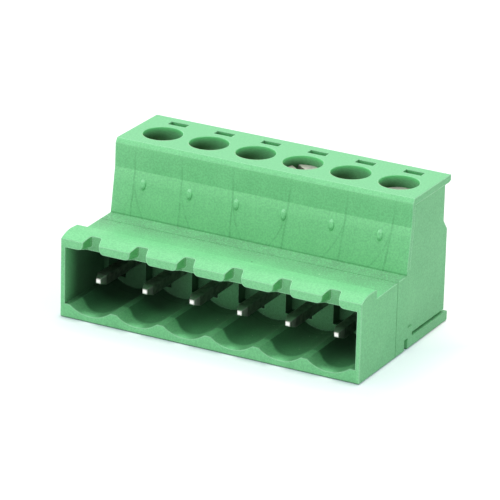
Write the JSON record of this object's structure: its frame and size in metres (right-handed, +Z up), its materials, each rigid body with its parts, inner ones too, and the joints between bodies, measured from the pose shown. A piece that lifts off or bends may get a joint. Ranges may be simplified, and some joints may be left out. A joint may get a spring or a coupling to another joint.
{
  "type": "pluggable terminal block",
  "caption": "Straight pluggable terminal block: a row of screw clamps behind a shroud of square male pins, in green moulded plastic.",
  "frame": {"origin": "under the middle of the block, on the surface that it rests on", "axes": "+X along the row of poles, -Y out of the plug face towards the mating plug, +Z up towards the screw heads"},
  "size_m": [0.0318, 0.0186, 0.015],
  "materials": {
    "housing_plastic": "fine spark-eroded grain, moulded polyamide",
    "contact_metal": "tin plated",
    "cage_metal": "nickel plated",
    "screw_metal": "zinc plated, dull"
  },
  "bodies": {
    "block": {"main_housing": "housing_plastic", "pin_shroud": "housing_plastic", "base_cover": "housing_plastic", "contact_pin_1": "contact_metal", "contact_pin_2": "contact_metal", "contact_pin_3": "contact_metal", "contact_pin_4": "contact_metal", "contact_pin_5": "contact_metal", "contact_pin_6": "contact_metal"},
    "screw_1": {"clamp_screw_1": "screw_metal"},
    "cage_1": {"clamp_cage_1": "cage_metal"},
    "screw_2": {"clamp_screw_2": "screw_metal"},
    "cage_2": {"clamp_cage_2": "cage_metal"},
    "screw_3": {"clamp_screw_3": "screw_metal"},
    "cage_3": {"clamp_cage_3": "cage_metal"},
    "screw_4": {"clamp_screw_4": "screw_metal"},
    "cage_4": {"clamp_cage_4": "cage_metal"},
    "screw_5": {"clamp_screw_5": "screw_metal"},
    "cage_5": {"clamp_cage_5": "cage_metal"},
    "screw_6": {"clamp_screw_6": "screw_metal"},
    "cage_6": {"clamp_cage_6": "cage_metal"}
  },
  "joints": [
    {"name": "screw_turn_1", "type": "hinge", "parent": "block", "child": "screw_1", "pos_m": [-0.0127, 0.00432, 0.0132], "axis": [0, 0, -1], "range_deg": [0, 1440]},
    {"name": "screw_turn_2", "type": "hinge", "parent": "block", "child": "screw_2", "pos_m": [-0.00762, 0.00432, 0.0132], "axis": [0, 0, -1], "range_deg": [0, 1440]},
    {"name": "screw_turn_3", "type": "hinge", "parent": "block", "child": "screw_3", "pos_m": [-0.00254, 0.00432, 0.0132], "axis": [0, 0, -1], "range_deg": [0, 1440]},
    {"name": "screw_turn_4", "type": "hinge", "parent": "block", "child": "screw_4", "pos_m": [0.00254, 0.00432, 0.0132], "axis": [0, 0, -1], "range_deg": [0, 1440]},
    {"name": "screw_turn_5", "type": "hinge", "parent": "block", "child": "screw_5", "pos_m": [0.00762, 0.00432, 0.0132], "axis": [0, 0, -1], "range_deg": [0, 1440]},
    {"name": "screw_turn_6", "type": "hinge", "parent": "block", "child": "screw_6", "pos_m": [0.0127, 0.00432, 0.0132], "axis": [0, 0, -1], "range_deg": [0, 1440]},
    {"name": "cage_lift_1", "type": "slide", "parent": "block", "child": "cage_1", "axis": [0, 0, 1], "range_m": [0, 0.002]},
    {"name": "cage_lift_2", "type": "slide", "parent": "block", "child": "cage_2", "axis": [0, 0, 1], "range_m": [0, 0.002]},
    {"name": "cage_lift_3", "type": "slide", "parent": "block", "child": "cage_3", "axis": [0, 0, 1], "range_m": [0, 0.002]},
    {"name": "cage_lift_4", "type": "slide", "parent": "block", "child": "cage_4", "axis": [0, 0, 1], "range_m": [0, 0.002]},
    {"name": "cage_lift_5", "type": "slide", "parent": "block", "child": "cage_5", "axis": [0, 0, 1], "range_m": [0, 0.002]},
    {"name": "cage_lift_6", "type": "slide", "parent": "block", "child": "cage_6", "axis": [0, 0, 1], "range_m": [0, 0.002]}
  ],
  "couplings": [
    {"joint": "screw_turn_1", "follows": "cage_lift_1", "rad_per_m": 12566},
    {"joint": "screw_turn_2", "follows": "cage_lift_2", "rad_per_m": 12566},
    {"joint": "screw_turn_3", "follows": "cage_lift_3", "rad_per_m": 12566},
    {"joint": "screw_turn_4", "follows": "cage_lift_4", "rad_per_m": 12566},
    {"joint": "screw_turn_5", "follows": "cage_lift_5", "rad_per_m": 12566},
    {"joint": "screw_turn_6", "follows": "cage_lift_6", "rad_per_m": 12566}
  ]
}
